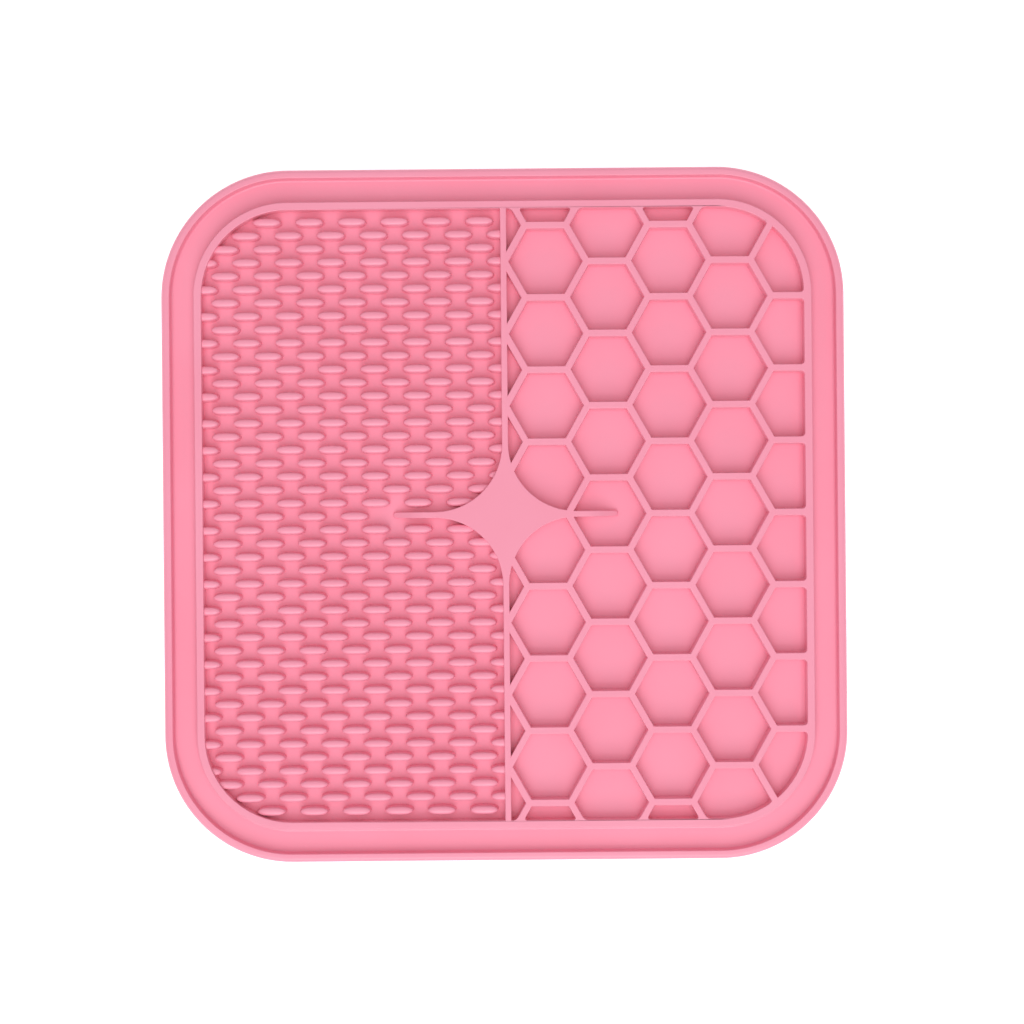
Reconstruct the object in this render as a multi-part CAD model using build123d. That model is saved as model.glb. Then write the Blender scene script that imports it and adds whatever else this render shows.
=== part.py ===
from build123d import *

import os
from math import ceil, hypot

# Lick mat moulded in silicone: a rounded sheet on suction cups, with a lip, a gutter and a walled tray.
# The tray holds oval nubs on its left half and honeycomb cells on its right half, with a star between.
# Millimetres. The origin is on the table under the middle of the mat, +Y runs to the back edge, +Z up.

# Whole mat
MAT_WIDTH = 200.0
MAT_LENGTH = 202.7
CORNER_RADIUS = 37.3

# Sheet, which stands on the suction cups
CUP_HEIGHT = 3.2
SHEET_THICKNESS = 1.8
SHEET_EDGE_SHARE = 0.45

# Lip round the edge of the mat
OUTER_RIM_WIDTH = 2.2
OUTER_RIM_HEIGHT = 3.4
OUTER_RIM_DRAFT = 0.3
OUTER_RIM_FOOT = 0.7
OUTER_RIM_CROWN_SHARE = 0.62
OUTER_RIM_EASE_SHARE = 0.18

# Gutter between the lip and the tray's wall
GUTTER_WIDTH = 7.6

# Wall of the tray, and the height that all ribs inside it share
TRAY_WALL_WIDTH = 2.2
TRAY_WALL_FOOT = 1.2
TRAY_WALL_EASE_SHARE = 0.16
RIB_HEIGHT = 5.0

# Divider between the two halves, with the star in its middle
DIVIDER_WIDTH = 1.8
DIVIDER_OFFSET = 0.4
STAR_ARC_RADIUS = 19.8
STAR_ARM_WIDTH = 1.8
STAR_ARM_REACH = 33.0
STAR_ARM_RAMP = 3.2
STAR_ARM_TIP_HEIGHT = 0.8

# Honeycomb: cells with flat tops, in columns that start on the divider
HONEYCOMB_COLUMN_PITCH = 17.94
HONEYCOMB_ROW_PITCH = 21.08
HONEYCOMB_RIB_WIDTH = 1.9
HONEYCOMB_OFFSET = 0.3
HONEYCOMB_KEEP_SHARE = 0.02

# Nubs: rows of ovals, every second row moved by half a pitch
NUB_LENGTH = 8.4
NUB_WIDTH = 2.7
NUB_HEIGHT = 4.0
NUB_ROUND_SHARE = 0.88
NUB_COLUMN_PITCH = 12.44
NUB_ROW_PITCH = 3.917
NUB_OFFSET = 0.3
NUB_BACKING = 0.6
NUB_KEEP_SHARE = 0.2
NUB_WHOLE_SHARE = 0.999

# Suction cups under the sheet
CUP_COLUMNS = 4
CUP_ROWS = 4
CUP_EDGE_INSET = 28.0
CUP_RADIUS = 11.0
CUP_LIP_WIDTH = 0.6
CUP_LIP_HEIGHT = 0.5
CUP_NECK_RADIUS = 4.0
CUP_NECK_HEIGHT = 0.7
CUP_WALL = 0.9
CUP_BULGE_SHARE = 0.14

floor_z = CUP_HEIGHT + SHEET_THICKNESS
tray_wall_inset = OUTER_RIM_WIDTH + GUTTER_WIDTH
tray_inset = tray_wall_inset + TRAY_WALL_WIDTH
tray_width = MAT_WIDTH - 2 * tray_inset
tray_length = MAT_LENGTH - 2 * tray_inset
star_reach_x = DIVIDER_WIDTH / 2 + STAR_ARC_RADIUS
star_reach_y = STAR_ARM_WIDTH / 2 + STAR_ARC_RADIUS


def mat_plan(inset):
    """Plan of the mat, moved in from its edge."""
    return RectangleRounded(MAT_WIDTH - 2 * inset, MAT_LENGTH - 2 * inset, CORNER_RADIUS - inset)


def raise_plan(plan, low, height):
    """Solid that stands on a level, with the given plan."""
    return extrude(Pos(0, 0, low) * plan, height)


def carry_round(profile):
    """Ring made by a rim's section, drawn as inset against height, carried round the mat's edge."""
    corner_x = MAT_WIDTH / 2 - CORNER_RADIUS
    corner_y = MAT_LENGTH / 2 - CORNER_RADIUS
    inwards = (-1, 0, 0)
    backwards = (0, 1, 0)
    side = Plane((MAT_WIDTH / 2, 0, floor_z), x_dir=inwards, z_dir=backwards) * profile
    turn = Plane((MAT_WIDTH / 2, corner_y, floor_z), x_dir=inwards, z_dir=backwards) * profile
    end = Plane((corner_x, MAT_LENGTH / 2, floor_z), x_dir=(0, -1, 0), z_dir=inwards) * profile
    side_run = extrude(side, corner_y)
    corner = revolve(turn, Axis((corner_x, corner_y, 0), (0, 0, 1)), 90)
    end_run = extrude(end, corner_x)
    quarter = side_run + corner + end_run
    half = quarter + mirror(quarter, Plane.YZ)
    return half + mirror(half, Plane.XZ)


def outer_rim():
    """Lip with a full outer round, a small inner ease and a soft foot in the gutter."""
    crown = OUTER_RIM_CROWN_SHARE * OUTER_RIM_WIDTH
    ease = OUTER_RIM_EASE_SHARE * OUTER_RIM_WIDTH
    top = OUTER_RIM_HEIGHT
    foot_inset = OUTER_RIM_WIDTH + OUTER_RIM_DRAFT
    section = [
        Line((0, 0), (0, top - crown)),
        CenterArc((crown, top - crown), crown, 90, 90),
        Line((crown, top), (OUTER_RIM_WIDTH - ease, top)),
        CenterArc((OUTER_RIM_WIDTH - ease, top - ease), ease, 0, 90),
        Line((OUTER_RIM_WIDTH, top - ease), (foot_inset, OUTER_RIM_FOOT)),
        CenterArc((foot_inset + OUTER_RIM_FOOT, OUTER_RIM_FOOT), OUTER_RIM_FOOT, 180, 90),
        Line((foot_inset + OUTER_RIM_FOOT, 0), (0, 0)),
    ]
    return carry_round(make_face(section))


def tray_wall():
    """Inner rim with a soft foot and an eased edge towards the gutter."""
    ease = TRAY_WALL_EASE_SHARE * TRAY_WALL_WIDTH
    start = tray_wall_inset
    section = [
        CenterArc((start - TRAY_WALL_FOOT, TRAY_WALL_FOOT), TRAY_WALL_FOOT, 270, 90),
        Line((start, TRAY_WALL_FOOT), (start, RIB_HEIGHT - ease)),
        CenterArc((start + ease, RIB_HEIGHT - ease), ease, 90, 90),
        Line((start + ease, RIB_HEIGHT), (tray_inset, RIB_HEIGHT)),
        Line((tray_inset, RIB_HEIGHT), (tray_inset, 0)),
        Line((tray_inset, 0), (start - TRAY_WALL_FOOT, 0)),
    ]
    return carry_round(make_face(section))


def star_plan():
    """Four pointed star: a square with a round bite at each corner, ending as wide as the ribs it meets."""
    star = Rectangle(2 * star_reach_x, 2 * star_reach_y)
    for side in (-1, 1):
        for end in (-1, 1):
            star -= Pos(side * star_reach_x, end * star_reach_y) * Circle(STAR_ARC_RADIUS)
    return Pos(DIVIDER_OFFSET, 0) * star


def arm_plan(side):
    """Plan of the star's arm on the left or right side."""
    length = STAR_ARM_REACH - star_reach_x
    return Pos(DIVIDER_OFFSET + side * (star_reach_x + length / 2), 0) * Rectangle(length, STAR_ARM_WIDTH)


def star_arm(side):
    """Arm of the star, with a ramp down to the floor at its end."""
    ramp_start = STAR_ARM_REACH - STAR_ARM_RAMP
    section = Polyline(
        (star_reach_x, 0),
        (star_reach_x, RIB_HEIGHT),
        (ramp_start, RIB_HEIGHT),
        (STAR_ARM_REACH, STAR_ARM_TIP_HEIGHT),
        (STAR_ARM_REACH, 0),
        close=True,
    )
    arm = extrude(Plane.XZ * make_face(section), STAR_ARM_WIDTH / 2, both=True)
    if side < 0:
        arm = mirror(arm, Plane.YZ)
    return Pos(DIVIDER_OFFSET, 0, floor_z) * arm


def divider(end):
    """Rib from a point of the star to the tray's wall, at the back or the front."""
    length = tray_length / 2 - star_reach_y
    middle = end * (star_reach_y + length / 2)
    return raise_plan(Pos(DIVIDER_OFFSET, middle) * Rectangle(DIVIDER_WIDTH, length), floor_z, RIB_HEIGHT)


def tray_half(side):
    """Open floor of the tray on one side of the divider, round the star and its arm."""
    face_x = DIVIDER_OFFSET + side * DIVIDER_WIDTH / 2
    half = Pos(face_x + side * tray_width / 2, 0) * Rectangle(tray_width, tray_length)
    return (mat_plan(tray_inset) & half) - star_plan() - arm_plan(side)


def honeycomb_bars():
    """Plans of the three ribs that a cell shares with its lower and right neighbours, about its middle."""
    point = HONEYCOMB_COLUMN_PITCH * 2 / 3
    corner = HONEYCOMB_COLUMN_PITCH / 3
    edge = HONEYCOMB_ROW_PITCH / 2
    slope = hypot(corner, edge)
    half_rib = HONEYCOMB_RIB_WIDTH / 2
    open_point = point - half_rib * slope / edge
    open_edge = edge - half_rib
    open_corner = open_point - open_edge * corner / edge
    lower = [
        (-corner, -edge),
        (-open_corner, -open_edge),
        (open_corner, -open_edge),
        (corner, -edge),
        (open_corner, open_edge - 2 * edge),
        (-open_corner, open_edge - 2 * edge),
    ]
    falling = [
        (corner, edge),
        (HONEYCOMB_COLUMN_PITCH - open_point, edge),
        (HONEYCOMB_COLUMN_PITCH - open_corner, half_rib),
        (point, 0),
        (open_point, 0),
        (open_corner, open_edge),
    ]
    rising = [(x, -y) for x, y in falling]
    return [make_face(Polyline(*points, close=True)) for points in (lower, falling, rising)]


def honeycomb_ribs():
    """Bars of the honeycomb, mitred where three meet and trimmed by the tray, the divider and the star."""
    field = tray_half(1)
    bars = honeycomb_bars()
    first_x = DIVIDER_OFFSET + HONEYCOMB_OFFSET + HONEYCOMB_COLUMN_PITCH * 2 / 3
    columns = ceil(tray_width / 2 / HONEYCOMB_COLUMN_PITCH)
    rows = ceil(tray_length / 2 / HONEYCOMB_ROW_PITCH)
    ribs = []
    for column in range(-1, columns + 1):
        stagger = HONEYCOMB_ROW_PITCH / 2 if column % 2 == 0 else 0
        for row in range(-rows - 1, rows + 1):
            place = Pos(first_x + column * HONEYCOMB_COLUMN_PITCH, row * HONEYCOMB_ROW_PITCH + stagger)
            for bar in bars:
                for piece in (field & (place * bar)).faces():
                    if piece.area > HONEYCOMB_KEEP_SHARE * bar.area:
                        ribs.append(raise_plan(piece, floor_z, RIB_HEIGHT).solid())
    return Compound(children=ribs)


def nub():
    """One oval nub with a rounded crown."""
    body = extrude(SlotOverall(NUB_LENGTH, NUB_WIDTH), NUB_HEIGHT)
    return fillet(body.edges().group_by(Axis.Z)[-1], NUB_ROUND_SHARE * NUB_WIDTH / 2)


def nub_panel():
    """Slice of the floor with staggered rows of nubs, trimmed by the tray, the divider and the star."""
    field = tray_half(-1)
    field_prism = raise_plan(field, floor_z, NUB_HEIGHT)
    nub_plan = SlotOverall(NUB_LENGTH, NUB_WIDTH)
    nub_solid = nub()
    middle_x = (DIVIDER_OFFSET - DIVIDER_WIDTH / 2 - tray_width / 2) / 2 + NUB_OFFSET
    arm_end = DIVIDER_OFFSET - STAR_ARM_REACH
    columns = ceil(tray_width / 4 / NUB_COLUMN_PITCH)
    rows = ceil(tray_length / 2 / NUB_ROW_PITCH)
    nubs = []
    for row in range(-rows, rows + 1):
        stagger = NUB_COLUMN_PITCH / 2 if row % 2 else 0
        y = row * NUB_ROW_PITCH
        for column in range(-columns - 1, columns + 1):
            x = middle_x + stagger + column * NUB_COLUMN_PITCH
            on_arm = abs(y) < (NUB_WIDTH + STAR_ARM_WIDTH) / 2 and x + NUB_LENGTH / 2 > arm_end
            kept = field & (Pos(x, y) * nub_plan)
            if on_arm or kept.area < NUB_KEEP_SHARE * nub_plan.area:
                continue
            placed = Pos(x, y, floor_z) * nub_solid
            whole = kept.area > NUB_WHOLE_SHARE * nub_plan.area
            nubs.append(placed if whole else field_prism & placed)
    return raise_plan(field, floor_z - NUB_BACKING, NUB_BACKING) + nubs


def base_sheet():
    """Flat sheet with a rounded lower edge and a seat for the slice of floor that carries the nubs."""
    sheet = raise_plan(mat_plan(0), CUP_HEIGHT, SHEET_THICKNESS)
    sheet = fillet(sheet.edges().group_by(Axis.Z)[0], SHEET_EDGE_SHARE * SHEET_THICKNESS)
    return sheet - raise_plan(tray_half(-1), floor_z - NUB_BACKING, NUB_BACKING)


def suction_cup():
    """Shallow cup on a short neck, turned about its own axis, with its lip on the table."""
    dome_top = CUP_HEIGHT - CUP_NECK_HEIGHT
    hollow_radius = CUP_RADIUS - CUP_LIP_WIDTH
    hollow_depth = dome_top - CUP_WALL
    ball_radius = (hollow_radius**2 + hollow_depth**2) / (2 * hollow_depth)
    bulge = CUP_BULGE_SHARE * dome_top
    dome_middle = ((CUP_NECK_RADIUS + CUP_RADIUS) / 2, (dome_top + CUP_LIP_HEIGHT) / 2 + bulge)
    section = [
        Line((0, CUP_HEIGHT), (CUP_NECK_RADIUS, CUP_HEIGHT)),
        Line((CUP_NECK_RADIUS, CUP_HEIGHT), (CUP_NECK_RADIUS, dome_top)),
        ThreePointArc((CUP_NECK_RADIUS, dome_top), dome_middle, (CUP_RADIUS, CUP_LIP_HEIGHT)),
        Line((CUP_RADIUS, CUP_LIP_HEIGHT), (CUP_RADIUS, 0)),
        Line((CUP_RADIUS, 0), (hollow_radius, 0)),
        RadiusArc((hollow_radius, 0), (0, hollow_depth), -ball_radius),
        Line((0, hollow_depth), (0, CUP_HEIGHT)),
    ]
    return revolve(Plane.XZ * make_face(section), Axis.Z)


def suction_cups():
    """Rows and columns of cups, spread evenly between the edge cups."""
    cup = suction_cup()
    span_x = MAT_WIDTH - 2 * CUP_EDGE_INSET
    span_y = MAT_LENGTH - 2 * CUP_EDGE_INSET
    places = GridLocations(span_x / (CUP_COLUMNS - 1), span_y / (CUP_ROWS - 1), CUP_COLUMNS, CUP_ROWS)
    return {f"suction_cup_{number:02d}": place * cup for number, place in enumerate(places, 1)}


nodes = {
    "base_sheet": base_sheet(),
    "outer_rim": outer_rim(),
    "tray_wall": tray_wall(),
    "back_divider": divider(1),
    "front_divider": divider(-1),
    "centre_star": raise_plan(star_plan(), floor_z, RIB_HEIGHT),
    "left_star_arm": star_arm(-1),
    "right_star_arm": star_arm(1),
    "honeycomb_ribs": honeycomb_ribs(),
    "nub_panel": nub_panel(),
    **suction_cups(),
}

os.makedirs("parts", exist_ok=True)
for name, shape in nodes.items():
    export_step(shape, f"parts/{name}.step")
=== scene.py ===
from math import cos, hypot, radians, sin

import bmesh
import bpy
from mathutils import Matrix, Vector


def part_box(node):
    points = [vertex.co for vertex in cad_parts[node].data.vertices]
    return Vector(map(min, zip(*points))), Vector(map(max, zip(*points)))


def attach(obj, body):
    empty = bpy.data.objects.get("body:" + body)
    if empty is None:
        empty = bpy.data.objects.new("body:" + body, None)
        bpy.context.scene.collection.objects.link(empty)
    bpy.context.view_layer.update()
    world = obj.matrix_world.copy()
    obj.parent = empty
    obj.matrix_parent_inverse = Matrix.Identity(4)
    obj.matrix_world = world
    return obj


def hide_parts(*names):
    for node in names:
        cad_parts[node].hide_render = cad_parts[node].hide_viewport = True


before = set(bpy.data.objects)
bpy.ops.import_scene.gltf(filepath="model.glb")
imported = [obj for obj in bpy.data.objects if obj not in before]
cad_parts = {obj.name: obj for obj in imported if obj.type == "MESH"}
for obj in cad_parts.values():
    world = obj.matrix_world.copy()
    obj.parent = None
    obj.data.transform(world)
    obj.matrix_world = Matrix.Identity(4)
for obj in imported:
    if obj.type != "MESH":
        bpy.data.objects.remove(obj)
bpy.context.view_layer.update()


# Suction cups: shallow silicone cups on short necks, moulded in one with the sheet's underside.
# They are turned forms with a thin lip, and a matt skin from the blasted mould.
MM = 0.001
CUP_SIDES = 56
CUP_DOME_STEPS = 6
CUP_HOLLOW_STEPS = 6
CUP_NECK_RADIUS = 4.0 * MM
CUP_NECK_FILLET = 0.5 * MM
CUP_DOME_TOP = 2.5 * MM
CUP_DOME_BULGE = 0.35 * MM
CUP_LIP_WIDTH = 0.6 * MM
CUP_LIP_HEIGHT = 0.5 * MM
CUP_LIP_EASE = 0.1 * MM
CUP_HOLLOW_DEPTH = 1.6 * MM
CUP_PIP_RADIUS = 0.5 * MM
CUP_SMOOTH_ANGLE = 50
MERGE_DISTANCE = 0.001 * MM
CUP_NODES = [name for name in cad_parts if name.startswith("suction_cup")]


def begin(add, **settings):
    """Adds a primitive with nothing else selected, and opens it for editing."""
    bpy.ops.object.select_all(action="DESELECT")
    add(**settings)
    bpy.ops.object.mode_set(mode="EDIT")
    return bpy.context.object


def pick(piece, kind, test):
    """Selects the vertices, edges or faces of the open mesh that pass a test, and nothing else."""
    mode = {"verts": "VERT", "edges": "EDGE", "faces": "FACE"}[kind]
    bpy.ops.mesh.select_all(action="DESELECT")
    bpy.ops.mesh.select_mode(type=mode)
    shape = bmesh.from_edit_mesh(piece.data)
    shape.normal_update()
    for part in getattr(shape, kind):
        if test(part):
            part.select_set(True)
    shape.select_flush_mode()
    bmesh.update_edit_mesh(piece.data)


def make_active(piece):
    """Leaves one piece selected and active in object mode."""
    if bpy.context.object and bpy.context.object.mode == "EDIT":
        bpy.ops.object.mode_set(mode="OBJECT")
    bpy.ops.object.select_all(action="DESELECT")
    piece.select_set(True)
    bpy.context.view_layer.objects.active = piece


def open_up(piece):
    """Opens a finished mesh for editing, with all of it selected."""
    make_active(piece)
    bpy.ops.object.mode_set(mode="EDIT")
    bpy.ops.mesh.select_all(action="SELECT")


def close_up():
    """Merges the open mesh's doubles and turns its faces outwards, then leaves edit mode."""
    bpy.ops.mesh.select_all(action="SELECT")
    bpy.ops.mesh.remove_doubles(threshold=MERGE_DISTANCE)
    bpy.ops.mesh.normals_make_consistent(inside=False)
    bpy.ops.object.mode_set(mode="OBJECT")


def copy_of(piece):
    """A copy of a piece, with a mesh of its own."""
    copy = piece.copy()
    copy.data = piece.data.copy()
    bpy.context.collection.objects.link(copy)
    return copy


def linear(code):
    """Linear colour of an sRGB hex code."""
    parts = [int(code[i:i + 2], 16) / 255 for i in (1, 3, 5)]
    return [p / 12.92 if p <= 0.04045 else ((p + 0.055) / 1.055) ** 2.4 for p in parts] + [1.0]


def add_node(tree, kind, settings=None, links=None):
    """Adds a node with its settings, and links its inputs to outputs of other nodes."""
    node = tree.nodes.new(kind)
    for key, value in (settings or {}).items():
        if key in node.inputs:
            node.inputs[key].default_value = value
        else:
            setattr(node, key, value)
    for key, (source, output) in (links or {}).items():
        tree.links.new(source.outputs[output], node.inputs[key])
    return node


def moulded_silicone(name, pale, deep):
    """Cured silicone from a blasted steel mould, in a soft matt colour.

    Its colour drifts a little over centimetres, and the blasted skin scatters the gloss.
    The grain is drawn at 0.7 mm, coarser than a blasted mould would leave it, so that it shows.
    """
    drift_size = 35 * MM
    grain_size = 0.7 * MM
    grain_depth = 0.05 * MM
    film_size = 6 * MM
    material = bpy.data.materials.new(name)
    material.use_nodes = True
    tree = material.node_tree
    tree.nodes.clear()
    place = add_node(tree, "ShaderNodeTexCoord")

    def noise(size, detail):
        """Noise over the piece, with features of about one size."""
        settings = {"Scale": 1 / size, "Detail": detail}
        return add_node(tree, "ShaderNodeTexNoise", settings, {"Vector": (place, "Object")})

    drift = noise(drift_size, 3.0)
    grain = noise(grain_size, 2.0)
    film = noise(film_size, 4.0)
    tint = add_node(tree, "ShaderNodeValToRGB", links={"Fac": (drift, "Fac")})
    tint.color_ramp.elements[0].position = 0.3
    tint.color_ramp.elements[1].position = 0.7
    tint.color_ramp.elements[0].color = linear(deep)
    tint.color_ramp.elements[1].color = linear(pale)
    gloss = add_node(tree, "ShaderNodeMapRange", {"To Min": 0.27, "To Max": 0.36}, {"Value": (film, "Fac")})
    relief = {"Strength": 0.12, "Distance": grain_depth}
    skin = add_node(tree, "ShaderNodeBump", relief, {"Height": (grain, "Fac")})
    shader = add_node(
        tree,
        "ShaderNodeBsdfPrincipled",
        {"IOR": 1.41, "Specular IOR Level": 0.85, "Sheen Weight": 0.05, "Sheen Roughness": 0.5},
        {"Base Color": (tint, "Color"), "Roughness": (gloss, "Result"), "Normal": (skin, "Normal")},
    )
    add_node(tree, "ShaderNodeOutputMaterial", links={"Surface": (shader, "BSDF")})
    return material


pink_silicone = moulded_silicone("pink moulded silicone", pale="#FA9DB5", deep="#F898B0")


def fit_out(piece, name, *nodes):
    """Names a finished piece, gives it the silicone and sets it in place of its CAD nodes."""
    piece.name = name
    piece.data.name = name
    piece.data.materials.clear()
    piece.data.materials.append(pink_silicone)
    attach(piece, "root")
    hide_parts(*nodes)


def turn(sides, section):
    """Turned form: a circle drawn out ring by ring through radii and heights, closed at both ends."""
    radius, height = section[0]
    piece = begin(bpy.ops.mesh.primitive_circle_add, vertices=sides, radius=radius, fill_type="NGON")
    bpy.ops.transform.translate(value=(0, 0, height))
    pick(piece, "edges", lambda edge: True)
    for next_radius, next_height in section[1:]:
        bpy.ops.mesh.extrude_edges_move()
        share = next_radius / radius
        bpy.ops.transform.resize(value=(share, share, 1), center_override=(0, 0, 0))
        bpy.ops.transform.translate(value=(0, 0, next_height - height))
        radius, height = next_radius, next_height
    bpy.ops.mesh.edge_face_add()
    close_up()
    return piece


cup_low, cup_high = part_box(CUP_NODES[0])
cup_radius = (cup_high[0] - cup_low[0]) / 2
cup_height = cup_high[2] - cup_low[2]
hollow_radius = cup_radius - CUP_LIP_WIDTH
dome_start = CUP_NECK_RADIUS + CUP_NECK_FILLET
dome_run = cup_radius - CUP_LIP_EASE - CUP_NECK_FILLET - CUP_NECK_RADIUS
cup_section = [(CUP_NECK_RADIUS, cup_height), (CUP_NECK_RADIUS, CUP_DOME_TOP + CUP_NECK_FILLET)]
for step in range(CUP_DOME_STEPS + 1):
    t = step / CUP_DOME_STEPS
    up = CUP_DOME_TOP + t * (CUP_LIP_HEIGHT - CUP_DOME_TOP) + 4 * t * (1 - t) * CUP_DOME_BULGE
    cup_section.append((dome_start + t * dome_run, up))
cup_section += [(cup_radius, CUP_LIP_HEIGHT - CUP_LIP_EASE), (cup_radius, CUP_LIP_EASE)]
cup_section += [(cup_radius - CUP_LIP_EASE, 0), (hollow_radius, 0)]
for step in range(1, CUP_HOLLOW_STEPS):
    t = step / CUP_HOLLOW_STEPS
    cup_section.append((hollow_radius * (1 - t), CUP_HOLLOW_DEPTH * (1 - (1 - t) ** 2)))
cup_section.append((CUP_PIP_RADIUS, CUP_HOLLOW_DEPTH))

first_cup = turn(CUP_SIDES, cup_section)
for name in CUP_NODES:
    low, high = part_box(name)
    cup = copy_of(first_cup)
    open_up(cup)
    bpy.ops.transform.translate(value=((low[0] + high[0]) / 2, (low[1] + high[1]) / 2, 0))
    bpy.ops.object.mode_set(mode="OBJECT")
    bpy.ops.object.shade_smooth_by_angle(angle=radians(CUP_SMOOTH_ANGLE))
    fit_out(cup, name.replace("suction_cup", "cup"), name)
bpy.data.objects.remove(first_cup)


# Base sheet: the thin flat silicone sheet under the whole mat, the floor of the tray and of the gutter.
# It is moulded with the rest, and its lower edge is rounded where the mould's halves part.
sheet_low, sheet_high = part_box("base_sheet")
mat_width = sheet_high[0] - sheet_low[0]
mat_length = sheet_high[1] - sheet_low[1]
floor_z = sheet_high[2]
CORNER_RADIUS = 37.3 * MM
CORNER_STEPS = 40
SHEET_EDGE_ROUND = 0.8 * MM
SHEET_SMOOTH_ANGLE = 40
ROUND_STEPS = 5


def mat_plan(inset, height, steps=CORNER_STEPS):
    """Open rounded plan of the mat, moved in from its edge, ready to be built up."""
    piece = begin(bpy.ops.mesh.primitive_plane_add, size=1)
    bpy.ops.transform.resize(value=(mat_width - 2 * inset, mat_length - 2 * inset, 1))
    bpy.ops.mesh.bevel(offset=CORNER_RADIUS - inset, segments=steps, profile=0.5, affect="VERTICES")
    bpy.ops.transform.translate(value=(0, 0, height))
    pick(piece, "faces", lambda face: True)
    return piece


def build_up(start, steps):
    """Draws the open face on through insets and heights, and ends on the face left open."""
    inset, height = start
    for next_inset, next_height in steps:
        if next_inset > inset:
            bpy.ops.mesh.inset(thickness=next_inset - inset, depth=0)
        else:
            bpy.ops.mesh.extrude_region_move()
        bpy.ops.transform.translate(value=(0, 0, next_height - height))
        inset, height = next_inset, next_height


def quarter(steps):
    """Sines and cosines of even steps through a quarter turn, without its start."""
    return [(sin(radians(90 * i / steps)), cos(radians(90 * i / steps))) for i in range(1, steps + 1)]


def soften(piece, angle):
    """Smooth shading over the eased edges, with flat faces kept flat."""
    make_active(piece)
    bpy.ops.object.shade_smooth_by_angle(angle=radians(angle))
    weigh = piece.modifiers.new("flat faces", "WEIGHTED_NORMAL")
    weigh.keep_sharp = True
    bpy.ops.object.modifier_apply(modifier=weigh.name)


sheet = mat_plan(0, floor_z)
sheet_section = [(0, sheet_low[2] + SHEET_EDGE_ROUND)]
for s, c in quarter(ROUND_STEPS):
    sheet_section.append((SHEET_EDGE_ROUND * (1 - c), sheet_low[2] + SHEET_EDGE_ROUND * (1 - s)))
build_up((0, floor_z), sheet_section)
close_up()
soften(sheet, SHEET_SMOOTH_ANGLE)
fit_out(sheet, "floor_sheet", "base_sheet")


# Outer rim: the rounded silicone lip that keeps the food and the drips on the mat, moulded with the sheet.
# It falls away on its outside in a full round, and stands on the sheet with a soft foot in the gutter.
OUTER_RIM_WIDTH = 2.5 * MM
OUTER_RIM_CROWN = 1.36 * MM
OUTER_RIM_CROWN_STEPS = 7
OUTER_RIM_EASE = 0.3 * MM
OUTER_RIM_DRAFT = 0.1 * MM
OUTER_RIM_FOOT = 0.7 * MM
OUTER_RIM_SMOOTH_ANGLE = 50
HAIR = 0.01 * MM
rim_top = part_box("outer_rim")[1][2]
crown_z = rim_top - OUTER_RIM_CROWN
foot_inset = OUTER_RIM_WIDTH + OUTER_RIM_DRAFT
rim_section = [(0, crown_z)]
for s, c in quarter(OUTER_RIM_CROWN_STEPS):
    rim_section.append((OUTER_RIM_CROWN * (1 - c), crown_z + OUTER_RIM_CROWN * s))
rim_section.append((OUTER_RIM_WIDTH - OUTER_RIM_EASE, rim_top))
for s, c in quarter(ROUND_STEPS):
    rim_section.append((OUTER_RIM_WIDTH - OUTER_RIM_EASE * (1 - s), rim_top - OUTER_RIM_EASE * (1 - c)))
rim_section.append((foot_inset, floor_z + OUTER_RIM_FOOT))
for s, c in quarter(ROUND_STEPS):
    rim_section.append((foot_inset + OUTER_RIM_FOOT * (1 - c), floor_z + OUTER_RIM_FOOT * (1 - s)))
rim = mat_plan(0, floor_z)
build_up((0, floor_z), rim_section)
bpy.ops.mesh.delete(type="FACE")
pick(rim, "faces", lambda face: all(abs(vert.co.z - floor_z) < HAIR for vert in face.verts))
bpy.ops.mesh.delete(type="ONLY_FACE")
pick(rim, "edges", lambda edge: edge.is_boundary)
bpy.ops.mesh.bridge_edge_loops()
close_up()
soften(rim, OUTER_RIM_SMOOTH_ANGLE)
fit_out(rim, "lip", "outer_rim")


# Raised work: the tray's silicone wall, the divider, the star and the honeycomb, all to one height.
# In the moulding they run into each other, so one skin stands for them, eased along every top edge.
TRAY_WALL_WIDTH = 2.2 * MM
TRAY_WALL_FOOT = 1.2 * MM
TOP_EASE = 0.25 * MM
TOP_EASE_STEPS = 5
TRAY_CORNER_STEPS = 15
CELL_CORNER_ROUND = 1.0 * MM
CELL_CORNER_STEPS = 4
CELL_CORNER_ANGLE = 15
CELL_CORNER_REACH = 0.05 * MM
HONEYCOMB_COLUMN_PITCH = 17.94 * MM
HONEYCOMB_ROW_PITCH = 21.08 * MM
HONEYCOMB_COLUMNS = range(-1, 6)
HONEYCOMB_ROWS = range(-5, 6)
HONEYCOMB_RIB_WIDTH = 1.9 * MM
HONEYCOMB_DRAFT = 0.3 * MM
HONEYCOMB_OFFSET = 0.3 * MM
OVERRUN = 1.0 * MM
STAR_ARC_RADIUS = 19.8 * MM
STAR_ARC_SIDES = 160
TOP_STRIPS = range(-9, 9)
SLIVER = 0.02 * MM
RAISED_SMOOTH_ANGLE = 40
wall_low, wall_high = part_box("tray_wall")
rib_top = wall_high[2]
wall_inset = wall_low[0] - sheet_low[0] + TRAY_WALL_FOOT
tray_inset = wall_inset + TRAY_WALL_WIDTH
tray_half_width = mat_width / 2 - tray_inset
tray_half_length = mat_length / 2 - tray_inset
tray_corner = CORNER_RADIUS - tray_inset
divider_low, divider_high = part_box("back_divider")
star_low, star_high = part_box("centre_star")
star_x = (star_low[0] + star_high[0]) / 2


def outside_tray(x, y):
    """Distance of a point outside the tray's rounded plan, less than zero inside it."""
    out_x = abs(x) - tray_half_width + tray_corner
    out_y = abs(y) - tray_half_length + tray_corner
    return hypot(max(out_x, 0), max(out_y, 0)) + min(max(out_x, out_y), 0) - tray_corner


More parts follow.
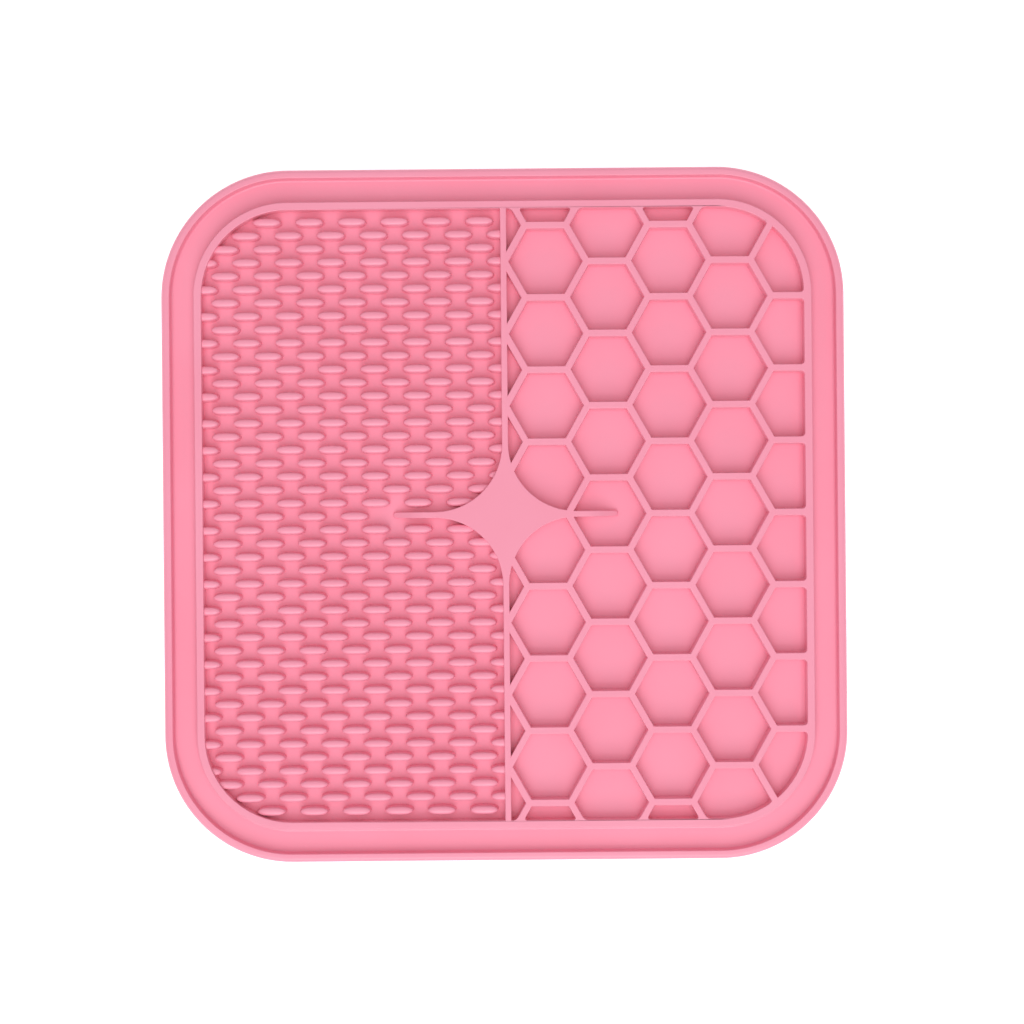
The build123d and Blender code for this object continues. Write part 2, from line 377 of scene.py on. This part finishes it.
def combine(piece, tool, operation):
    """Cuts or keeps what a piece shares with a tool, which is used up."""
    make_active(piece)
    change = piece.modifiers.new("combine", "BOOLEAN")
    change.operation = operation
    change.solver = "EXACT"
    change.object = tool
    bpy.ops.object.modifier_apply(modifier=change.name)
    bpy.data.objects.remove(tool)


def join(copies):
    """Joins copies into one piece."""
    make_active(copies[0])
    for copy in copies:
        copy.select_set(True)
    bpy.ops.object.join()
    return bpy.context.object


def star_block(low, high):
    """The star as a block: a square with a round bite at each corner."""
    block = begin(bpy.ops.mesh.primitive_cube_add, size=1)
    bpy.ops.transform.resize(value=(star_high[0] - star_low[0], star_high[1] - star_low[1], high - low))
    bpy.ops.transform.translate(value=(star_x, 0, (low + high) / 2))
    bpy.ops.object.mode_set(mode="OBJECT")
    for x in (star_low[0], star_high[0]):
        for y in (star_low[1], star_high[1]):
            bite = begin(
                bpy.ops.mesh.primitive_cylinder_add,
                vertices=STAR_ARC_SIDES,
                radius=STAR_ARC_RADIUS,
                depth=high - low + 2 * OVERRUN,
            )
            bpy.ops.transform.translate(value=(x, y, (low + high) / 2))
            bpy.ops.object.mode_set(mode="OBJECT")
            combine(block, bite, "DIFFERENCE")
    return block


def tray_half(side, low, high):
    """Block that fills the tray on one side of the divider."""
    block = mat_plan(tray_inset, low, TRAY_CORNER_STEPS)
    bpy.ops.mesh.extrude_region_move()
    bpy.ops.transform.translate(value=(0, 0, high - low))
    bpy.ops.mesh.select_all(action="SELECT")
    face_x = divider_high[0] if side > 0 else divider_low[0]
    bpy.ops.mesh.bisect(plane_co=(face_x, 0, 0), plane_no=(-side, 0, 0), clear_outer=True, use_fill=True)
    close_up()
    return block


def nub_half():
    """Block that fills the nubs' half of the tray round the star."""
    block = tray_half(-1, floor_z - OVERRUN, rib_top + OVERRUN)
    combine(block, star_block(floor_z - 2 * OVERRUN, rib_top + 2 * OVERRUN), "DIFFERENCE")
    return block


def stands_on_wall(edge):
    """True of an upright edge in a corner between a rib and the tray's wall."""
    low, high = sorted((vert.co for vert in edge.verts), key=lambda place: place.z)
    upright = high.z - low.z > 3 * hypot(high.x - low.x, high.y - low.y)
    sharp = edge.calc_face_angle(0) > radians(CELL_CORNER_ANGLE)
    on_wall = abs(outside_tray(high.x, high.y)) < CELL_CORNER_REACH
    return upright and sharp and on_wall


def middle(edge):
    """Point halfway along an edge."""
    return edge.verts[0].co.lerp(edge.verts[1].co, 0.5)


def cells():
    """The open cells of the honeycomb as blocks, trimmed by the tray, the divider and the star."""
    third = HONEYCOMB_COLUMN_PITCH / 3
    half_row = HONEYCOMB_ROW_PITCH / 2
    open_point = 2 * third - HONEYCOMB_RIB_WIDTH / 2 * hypot(third, half_row) / half_row
    open_edge = half_row - HONEYCOMB_RIB_WIDTH / 2
    high = rib_top + OVERRUN
    first = begin(bpy.ops.mesh.primitive_cylinder_add, vertices=6, radius=1, depth=1)
    bpy.ops.transform.rotate(value=radians(90), orient_axis="Z", center_override=(0, 0, 0))
    bpy.ops.transform.resize(value=(open_point, open_edge / sin(radians(60)), high - floor_z))
    bpy.ops.transform.translate(value=(0, 0, (high + floor_z) / 2))
    pick(first, "verts", lambda vert: vert.co.z < floor_z + HAIR)
    drawn_in = 1 - HONEYCOMB_DRAFT / open_edge
    bpy.ops.transform.resize(value=(drawn_in, drawn_in, 1), center_override=(0, 0, floor_z))
    bpy.ops.object.mode_set(mode="OBJECT")
    copies = []
    for column in HONEYCOMB_COLUMNS:
        stagger = half_row if column % 2 == 0 else 0
        for row in HONEYCOMB_ROWS:
            x = star_x + HONEYCOMB_OFFSET + (column * 3 + 2) * third
            y = row * HONEYCOMB_ROW_PITCH + stagger
            if outside_tray(x, y) > open_point:
                continue
            cell = copy_of(first)
            open_up(cell)
            bpy.ops.transform.translate(value=(x, y, 0))
            bpy.ops.object.mode_set(mode="OBJECT")
            copies.append(cell)
    bpy.data.objects.remove(first)
    block = join(copies)
    combine(block, tray_half(1, floor_z - OVERRUN, rib_top + 2 * OVERRUN), "INTERSECT")
    combine(block, star_block(floor_z - OVERRUN, rib_top + 2 * OVERRUN), "DIFFERENCE")
    open_up(block)
    shape = bmesh.from_edit_mesh(block.data)
    corners = [middle(edge) for edge in shape.edges if stands_on_wall(edge)]
    # Each corner is rounded alone. The clamp leaves six that are too tight sharp, or nearly so.
    for corner in corners:
        pick(block, "edges", lambda edge: stands_on_wall(edge) and (middle(edge) - corner).length < HAIR)
        bpy.ops.mesh.bevel(
            offset=CELL_CORNER_ROUND, segments=CELL_CORNER_STEPS, profile=0.5, clamp_overlap=True
        )
    close_up()
    return block


def meets_top(edge):
    """True of an edge between the level top and a wall."""
    if len(edge.link_faces) != 2 or any(abs(vert.co.z - rib_top) > HAIR for vert in edge.verts):
        return False
    rises = sorted(abs(face.normal.z) for face in edge.link_faces)
    return rises[0] < 0.5 and rises[1] > 0.9


wall_start = (wall_inset - TRAY_WALL_FOOT, floor_z)
wall_section = []
for s, c in quarter(ROUND_STEPS):
    wall_section.append((wall_inset - TRAY_WALL_FOOT * (1 - s), floor_z + TRAY_WALL_FOOT * (1 - c)))
wall_section.append((wall_inset, rib_top))
raised = mat_plan(*wall_start)
build_up(wall_start, wall_section)
pick(raised, "edges", lambda edge: edge.is_boundary)
bpy.ops.mesh.edge_face_add()
close_up()
combine(raised, nub_half(), "DIFFERENCE")
honeycomb = cells()
open_up(honeycomb)
pick(honeycomb, "verts", lambda vert: vert.co.z < floor_z + HAIR)
bpy.ops.transform.translate(value=(0, 0, -OVERRUN))
bpy.ops.object.mode_set(mode="OBJECT")
combine(raised, honeycomb, "DIFFERENCE")
open_up(raised)
# The top is cut across at a quarter pitch from the cells' middles, so that its faces stay simple.
for strip in TOP_STRIPS:
    strip_y = (strip / 2 + 0.25) * HONEYCOMB_ROW_PITCH
    bpy.ops.mesh.select_all(action="SELECT")
    bpy.ops.mesh.bisect(plane_co=(0, strip_y, 0), plane_no=(0, 1, 0))
# Slivers at the star's tips would make the clamp cut the ease down everywhere, so they are merged
# and the clamp is left out.
bpy.ops.mesh.select_all(action="SELECT")
bpy.ops.mesh.remove_doubles(threshold=SLIVER)
pick(raised, "edges", meets_top)
bpy.ops.mesh.bevel(offset=TOP_EASE, segments=TOP_EASE_STEPS, profile=0.5, clamp_overlap=False)
close_up()
soften(raised, RAISED_SMOOTH_ANGLE)
fit_out(raised, "raised_work", "tray_wall", "back_divider", "front_divider", "centre_star", "honeycomb_ribs")


# Star arms: two low silicone ribs that run on from the star's side points, moulded in one with it.
# Each has a rounded end, and ramps down to a low tip near the floor of its half.
ARM_RAMP = 7.0 * MM
ARM_TIP_HEIGHT = 0.8 * MM
ARM_END_ROUND = 0.85 * MM
ARM_END_STEPS = 6
ARM_UPRIGHT_LEAST = 0.1 * MM
ARM_RAMP_EASE = 2.5 * MM
ARM_RAMP_STEPS = 5
ARM_TOP_EASE = 0.3 * MM
ARM_LAP = 1.5 * MM
ARM_DROP = 0.02 * MM
ARM_SMOOTH_ANGLE = 40


def lies_at(edge, x):
    """True of an edge whose ends both lie at one place along the arm."""
    return all(abs(vert.co.x - x) < HAIR for vert in edge.verts)


for side, node in ((-1, "left_star_arm"), (1, "right_star_arm")):
    arm_low, arm_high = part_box(node)
    tip_x = arm_high[0] if side > 0 else arm_low[0]
    root_x = (arm_low[0] if side > 0 else arm_high[0]) - side * ARM_LAP
    arm_top = arm_high[2] - ARM_DROP
    arm = begin(bpy.ops.mesh.primitive_cube_add, size=1)
    bpy.ops.transform.resize(value=(abs(tip_x - root_x), arm_high[1] - arm_low[1], arm_top - floor_z))
    bpy.ops.transform.translate(value=((tip_x + root_x) / 2, 0, (arm_top + floor_z) / 2))
    ramp_x = tip_x - side * ARM_RAMP
    bpy.ops.mesh.bisect(plane_co=(ramp_x, 0, 0), plane_no=(1, 0, 0))
    pick(arm, "verts", lambda vert: abs(vert.co.x - tip_x) < HAIR and vert.co.z > floor_z + HAIR)
    bpy.ops.transform.translate(value=(0, 0, floor_z + ARM_TIP_HEIGHT - arm_top))
    pick(arm, "edges", lambda edge: lies_at(edge, ramp_x)
         and all(vert.co.z > arm_top - HAIR for vert in edge.verts))
    bpy.ops.mesh.bevel(offset=ARM_RAMP_EASE, segments=ARM_RAMP_STEPS, profile=0.5, clamp_overlap=True)
    pick(arm, "edges", lambda edge: lies_at(edge, tip_x)
         and abs(edge.verts[0].co.z - edge.verts[1].co.z) > ARM_UPRIGHT_LEAST)
    bpy.ops.mesh.bevel(offset=ARM_END_ROUND, segments=ARM_END_STEPS, profile=0.5, clamp_overlap=True)
    pick(arm, "edges", lambda edge: len(edge.link_faces) == 2
         and sorted(face.normal.z > 0.2 for face in edge.link_faces) == [False, True]
         and not lies_at(edge, root_x))
    bpy.ops.mesh.bevel(offset=ARM_TOP_EASE, segments=TOP_EASE_STEPS, profile=0.5, clamp_overlap=True)
    close_up()
    soften(arm, ARM_SMOOTH_ANGLE)
    fit_out(arm, node.replace("star_arm", "arm"), node)


# Nubs: staggered rows of oval silicone nubs on the left half, moulded with the sheet.
# Each is a smooth crowned oval, a little lower than the ribs. The tray's wall, the divider and the star
# cut through those they meet.
NUB_LENGTH = 8.0 * MM
NUB_WIDTH = 2.4 * MM
NUB_END = 3.0 * MM
NUB_DOME = 0.7 * MM
NUB_FLARE = (1.07, 1.25, 1)
NUB_SIDES = 16
NUB_RINGS = 8
NUB_MIDDLE = 0.1 * MM
NUB_COLUMN_PITCH = 12.44 * MM
NUB_ROW_PITCH = 3.917 * MM
NUB_COLUMNS = range(-5, 5)
NUB_ROWS = range(-23, 24)
NUB_OFFSET = 0.3 * MM
NUB_ROW_OFFSET = -0.2 * MM
NUB_LEAST = 2.0 * MM
NUB_SMOOTH_ANGLE = 60
nub_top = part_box("nub_panel")[1][2]
arm_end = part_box("left_star_arm")[0][0]
field_middle = (divider_low[0] - tray_half_width) / 2 + NUB_OFFSET

first_nub = begin(
    bpy.ops.mesh.primitive_uv_sphere_add, segments=NUB_SIDES, ring_count=NUB_RINGS, radius=1
)
bpy.ops.mesh.bisect(plane_co=(0, 0, 0), plane_no=(0, 0, 1), clear_inner=True, use_fill=True)
bpy.ops.mesh.select_all(action="SELECT")
bpy.ops.transform.resize(value=(NUB_END, NUB_WIDTH / 2, NUB_DOME), center_override=(0, 0, 0))
for side in (-1, 1):
    pick(first_nub, "verts", lambda vert: side * vert.co.x > NUB_MIDDLE)
    bpy.ops.transform.translate(value=(side * (NUB_LENGTH / 2 - NUB_END), 0, 0))
bpy.ops.mesh.select_all(action="SELECT")
bpy.ops.transform.translate(value=(0, 0, nub_top - NUB_DOME))
pick(first_nub, "faces", lambda face: face.normal.z < -0.9)
bpy.ops.mesh.extrude_region_move()
bpy.ops.transform.translate(value=(0, 0, floor_z - nub_top + NUB_DOME))
bpy.ops.transform.resize(value=NUB_FLARE, center_override=(0, 0, 0))
close_up()
copies = []
for row in NUB_ROWS:
    stagger = NUB_COLUMN_PITCH / 2 if row % 2 else 0
    y = row * NUB_ROW_PITCH + NUB_ROW_OFFSET
    if abs(y) > tray_half_length:
        continue
    for column in NUB_COLUMNS:
        x = field_middle + stagger + column * NUB_COLUMN_PITCH
        on_arm = row == 0 and x + NUB_LENGTH / 2 > arm_end
        past_divider = x > divider_low[0] + NUB_LEAST
        if on_arm or past_divider or outside_tray(x, y) > NUB_LEAST:
            continue
        nub = copy_of(first_nub)
        nub.data.transform(Matrix.Translation((x, y, 0)))
        copies.append(nub)
bpy.data.objects.remove(first_nub)
nubs = join(copies)
combine(nubs, nub_half(), "INTERSECT")
open_up(nubs)
bpy.ops.mesh.dissolve_degenerate(threshold=SLIVER)
close_up()
bpy.ops.object.shade_smooth_by_angle(angle=radians(NUB_SMOOTH_ANGLE))
fit_out(nubs, "lick_nubs", "nub_panel")


# Floor, light and camera: a plain white table, a large soft light from the front, one overhead
# and a weak even sky. The camera looks straight down, turned a touch, as the mat was laid.
TABLE_SIZE = 8
TABLE_ROUGHNESS = 0.9
TABLE_GLOW = 0.6
SKY_LIGHT = 0.43
SKY_SEEN = 1.0
CAMERA_HEIGHT = 657 * MM
CAMERA_X = 2.25 * MM
CAMERA_Y = 0.67 * MM
CAMERA_LENS = 77.96
CAMERA_TURN = -0.51
CAMERA_SENSOR = 36
CAMERA_NEAREST = 0.01
table = begin(bpy.ops.mesh.primitive_plane_add, size=TABLE_SIZE)
bpy.ops.object.mode_set(mode="OBJECT")
table.name = "table"
white = bpy.data.materials.new("white paper")
white.use_nodes = True
paper = white.node_tree.nodes["Principled BSDF"].inputs
paper["Base Color"].default_value = linear("#F4F4F4")
paper["Roughness"].default_value = TABLE_ROUGHNESS
paper["Emission Color"].default_value = (1, 1, 1, 1)
paper["Emission Strength"].default_value = TABLE_GLOW
table.data.materials.append(white)


def soft_light(place, size, power, tilt):
    """Square area light that looks down, tilted towards the back."""
    bpy.ops.object.light_add(type="AREA", location=place)
    light = bpy.context.object
    light.data.size = size
    light.data.energy = power
    light.rotation_euler = (radians(tilt), 0, 0)
    return light


soft_light(place=(0, -1.29, 1.53), size=1.3, power=14, tilt=40)
overhead = soft_light(place=(0, -0.25, 2.2), size=1.6, power=19.4, tilt=6.5)
overhead.visible_glossy = False
world = bpy.data.worlds.new("sky")
world.use_nodes = True
sky = world.node_tree
rays = add_node(sky, "ShaderNodeLightPath")
strengths = {"To Min": SKY_LIGHT, "To Max": SKY_SEEN}
glow = add_node(sky, "ShaderNodeMapRange", strengths, {"Value": (rays, "Is Camera Ray")})
sky.nodes["Background"].inputs["Color"].default_value = (1, 1, 1, 1)
sky.links.new(glow.outputs["Result"], sky.nodes["Background"].inputs["Strength"])
bpy.context.scene.world = world
bpy.context.scene.view_settings.view_transform = "Standard"

camera_place = (CAMERA_X, CAMERA_Y, CAMERA_HEIGHT)
bpy.ops.object.camera_add(location=camera_place, rotation=(0, 0, radians(CAMERA_TURN)))
camera = bpy.context.object
camera.data.lens = CAMERA_LENS
camera.data.sensor_width = CAMERA_SENSOR
camera.data.clip_start = CAMERA_NEAREST
bpy.context.scene.camera = camera
